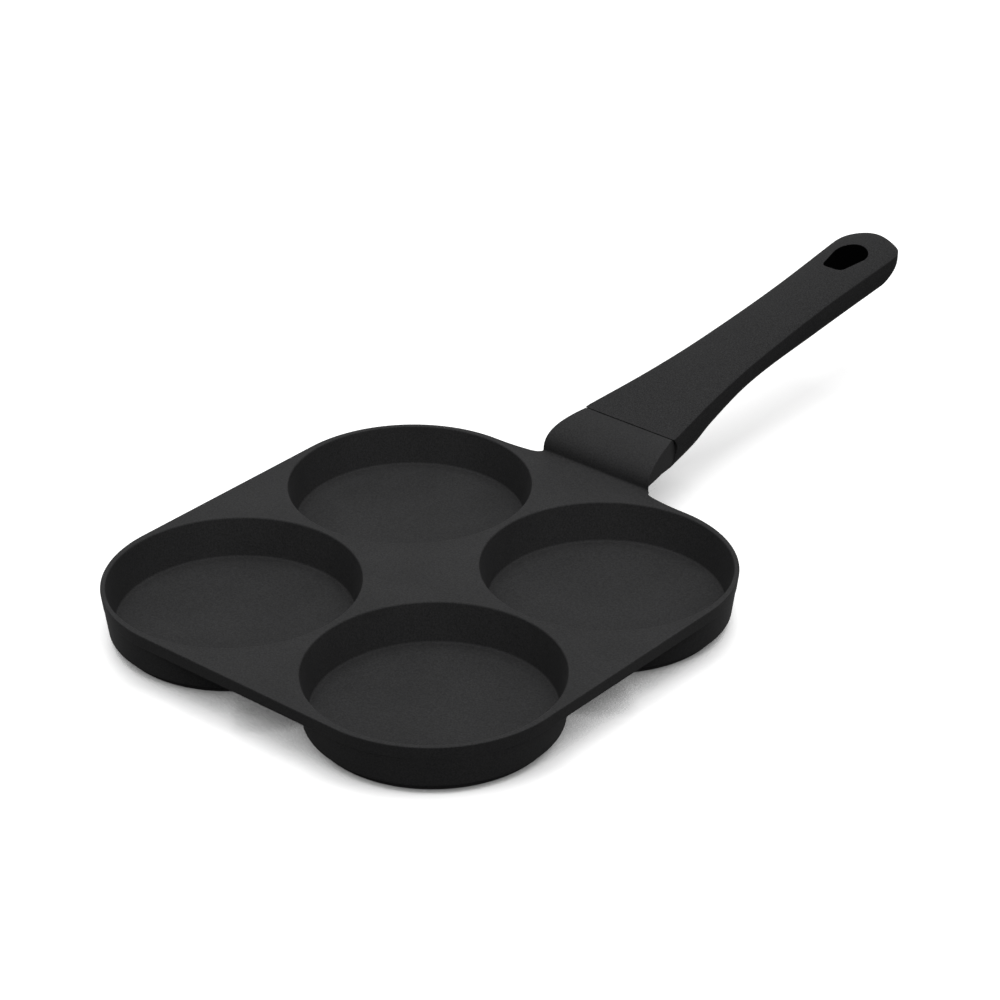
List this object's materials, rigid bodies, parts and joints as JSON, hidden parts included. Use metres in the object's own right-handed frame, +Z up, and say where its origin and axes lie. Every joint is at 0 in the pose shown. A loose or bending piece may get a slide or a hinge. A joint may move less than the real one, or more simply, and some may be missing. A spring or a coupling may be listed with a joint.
{
  "type": "hamburger pan",
  "caption": "Square die-cast pan with round shallow cups for burgers or eggs, steel discs beneath them, and a long moulded handle with a hang hole.",
  "frame": {"origin": "Bottom centre of the bounding box: on the plane of the discs' undersides, under the middle of the overall length and width.", "axes": "+Y along the handle, from the pan to the handle's end; +Z up, out of the open cups; +X to the right when seen from above with the handle pointing away."},
  "size_m": [0.217, 0.4328, 0.0615],
  "materials": {
    "non_stick_coating": "matte dark grey non-stick coating on die-cast aluminium, fine grain",
    "disc_steel": "turned, bare",
    "soft_touch_moulding": "matte dark grey soft-touch moulding, fine grain",
    "zinc_plated_steel": "bright zinc plate"
  },
  "bodies": {
    "root": {"pan_body": "non_stick_coating", "induction_disc_rear_left": "disc_steel", "induction_disc_rear_right": "disc_steel", "induction_disc_front_left": "disc_steel", "induction_disc_front_right": "disc_steel", "handle_grip": "soft_touch_moulding", "handle_screw": "zinc_plated_steel", "spring_washer": "zinc_plated_steel", "flat_washer": "zinc_plated_steel"}
  },
  "joints": []
}
